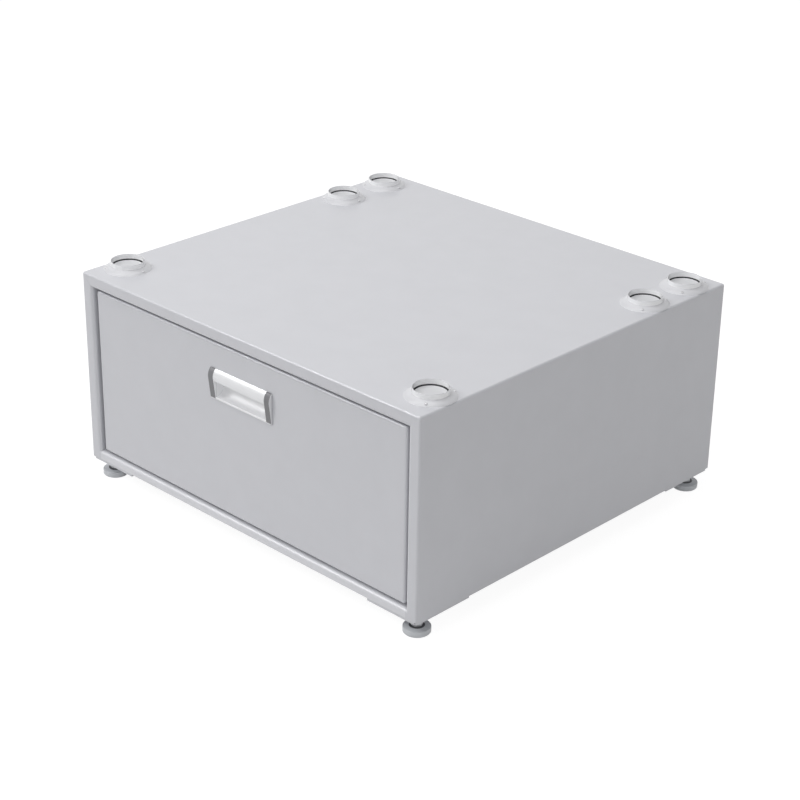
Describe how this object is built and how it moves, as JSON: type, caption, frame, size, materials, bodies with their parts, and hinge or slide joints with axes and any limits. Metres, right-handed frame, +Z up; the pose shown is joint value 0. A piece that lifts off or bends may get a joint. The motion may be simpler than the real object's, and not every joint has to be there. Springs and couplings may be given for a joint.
{
  "type": "washer pedestal drawer",
  "caption": "Low sheet-steel pedestal for a washing machine, with a full-width drawer on ball slides, a scooped handle, foot cups on top and levelling feet.",
  "frame": {"origin": "on the floor, under the middle of the pedestal's overall outline", "axes": "+X to the right seen from the front, -Y out of the drawer front, +Z up"},
  "size_m": [0.6, 0.5664, 0.302],
  "materials": {
    "panel": "fine satin powder coat",
    "inner": "fine satin powder coat, inside",
    "drawer_face": "fine satin powder coat",
    "zinc": "bright zinc plate",
    "aluminium": "satin anodised",
    "cap": "moulded, fine texture",
    "foot": "moulded",
    "pad": "soft, matt",
    "bumper": "matt"
  },
  "bodies": {
    "cabinet": {"cabinet_shell": "panel", "front_sill": "panel", "rear_rail": "panel", "back_panel": "inner", "back_panel_screws": "zinc", "foot_weld_nuts": "zinc", "foot_bracket_front_left": "panel", "foot_bracket_front_right": "panel", "foot_bracket_rear_left": "panel", "foot_bracket_rear_right": "panel", "cup_front_left": "panel", "cup_front_right": "panel", "cup_middle_left": "panel", "cup_middle_right": "panel", "cup_rear_left": "panel", "cup_rear_right": "panel", "cup_pad_front_left": "pad", "cup_pad_front_right": "pad", "cup_pad_middle_left": "pad", "cup_pad_middle_right": "pad", "cup_pad_rear_left": "pad", "cup_pad_rear_right": "pad", "cup_rivets": "aluminium", "slide_support_left": "panel", "slide_support_right": "panel", "slide_outer_left": "zinc", "slide_outer_right": "zinc", "slide_stops": "bumper", "slide_screws": "zinc"},
    "drawer": {"slide_inner_left": "zinc", "slide_inner_right": "zinc", "drawer_side_left": "inner", "drawer_side_right": "inner", "handle_cap_left": "cap", "handle_cap_right": "cap", "drawer_front": "drawer_face", "drawer_front_liner": "inner", "drawer_back": "inner", "drawer_bottom": "inner", "drawer_side_screws": "zinc", "drawer_front_screws": "zinc", "handle_bar": "aluminium", "handle_screws": "zinc"},
    "middle_member_left": {"slide_middle_left": "zinc"},
    "outer_cage_left": {"ball_cage_outer_left": "zinc"},
    "inner_cage_left": {"ball_cage_inner_left": "zinc"},
    "middle_member_right": {"slide_middle_right": "zinc"},
    "outer_cage_right": {"ball_cage_outer_right": "zinc"},
    "inner_cage_right": {"ball_cage_inner_right": "zinc"},
    "foot_front_left": {"foot_disc_front_left": "foot"},
    "foot_front_left_screw": {"foot_stud_front_left": "zinc"},
    "foot_front_right": {"foot_disc_front_right": "foot"},
    "foot_front_right_screw": {"foot_stud_front_right": "zinc"},
    "foot_rear_left": {"foot_disc_rear_left": "foot"},
    "foot_rear_left_screw": {"foot_stud_rear_left": "zinc"},
    "foot_rear_right": {"foot_disc_rear_right": "foot"},
    "foot_rear_right_screw": {"foot_stud_rear_right": "zinc"}
  },
  "joints": [
    {"name": "drawer_slide", "type": "slide", "parent": "cabinet", "child": "drawer", "axis": [0, -1, 0], "range_m": [0, 0.48]},
    {"name": "middle_member_left_travel", "type": "slide", "parent": "cabinet", "child": "middle_member_left", "axis": [0, -1, 0], "range_m": [0, 0.2405]},
    {"name": "outer_cage_left_travel", "type": "slide", "parent": "cabinet", "child": "outer_cage_left", "axis": [0, -1, 0], "range_m": [0, 0.1205]},
    {"name": "inner_cage_left_travel", "type": "slide", "parent": "cabinet", "child": "inner_cage_left", "axis": [0, -1, 0], "range_m": [0, 0.3605]},
    {"name": "middle_member_right_travel", "type": "slide", "parent": "cabinet", "child": "middle_member_right", "axis": [0, -1, 0], "range_m": [0, 0.2405]},
    {"name": "outer_cage_right_travel", "type": "slide", "parent": "cabinet", "child": "outer_cage_right", "axis": [0, -1, 0], "range_m": [0, 0.1205]},
    {"name": "inner_cage_right_travel", "type": "slide", "parent": "cabinet", "child": "inner_cage_right", "axis": [0, -1, 0], "range_m": [0, 0.3605]},
    {"name": "foot_front_left_height", "type": "slide", "parent": "cabinet", "child": "foot_front_left", "axis": [0, 0, 1], "range_m": [0, 0.0075]},
    {"name": "foot_front_left_turn", "type": "hinge", "parent": "foot_front_left", "child": "foot_front_left_screw", "pos_m": [-0.28, -0.259, 0.027], "axis": [0, 0, 1], "range_deg": [0, 2165]},
    {"name": "foot_front_right_height", "type": "slide", "parent": "cabinet", "child": "foot_front_right", "axis": [0, 0, 1], "range_m": [0, 0.0075]},
    {"name": "foot_front_right_turn", "type": "hinge", "parent": "foot_front_right", "child": "foot_front_right_screw", "pos_m": [0.28, -0.259, 0.027], "axis": [0, 0, 1], "range_deg": [0, 2165]},
    {"name": "foot_rear_left_height", "type": "slide", "parent": "cabinet", "child": "foot_rear_left", "axis": [0, 0, 1], "range_m": [0, 0.0075]},
    {"name": "foot_rear_left_turn", "type": "hinge", "parent": "foot_rear_left", "child": "foot_rear_left_screw", "pos_m": [-0.28, 0.2592, 0.027], "axis": [0, 0, 1], "range_deg": [0, 2165]},
    {"name": "foot_rear_right_height", "type": "slide", "parent": "cabinet", "child": "foot_rear_right", "axis": [0, 0, 1], "range_m": [0, 0.0075]},
    {"name": "foot_rear_right_turn", "type": "hinge", "parent": "foot_rear_right", "child": "foot_rear_right_screw", "pos_m": [0.28, 0.2592, 0.027], "axis": [0, 0, 1], "range_deg": [0, 2165]}
  ],
  "couplings": [
    {"joint": "middle_member_left_travel", "follows": "drawer_slide", "ratio": 0.5},
    {"joint": "outer_cage_left_travel", "follows": "drawer_slide", "ratio": 0.25},
    {"joint": "inner_cage_left_travel", "follows": "drawer_slide", "ratio": 0.75},
    {"joint": "middle_member_right_travel", "follows": "drawer_slide", "ratio": 0.5},
    {"joint": "outer_cage_right_travel", "follows": "drawer_slide", "ratio": 0.25},
    {"joint": "inner_cage_right_travel", "follows": "drawer_slide", "ratio": 0.75},
    {"joint": "foot_front_left_turn", "follows": "foot_front_left_height", "rad_per_m": 5026.5},
    {"joint": "foot_front_right_turn", "follows": "foot_front_right_height", "rad_per_m": 5026.5},
    {"joint": "foot_rear_left_turn", "follows": "foot_rear_left_height", "rad_per_m": 5026.5},
    {"joint": "foot_rear_right_turn", "follows": "foot_rear_right_height", "rad_per_m": 5026.5}
  ]
}
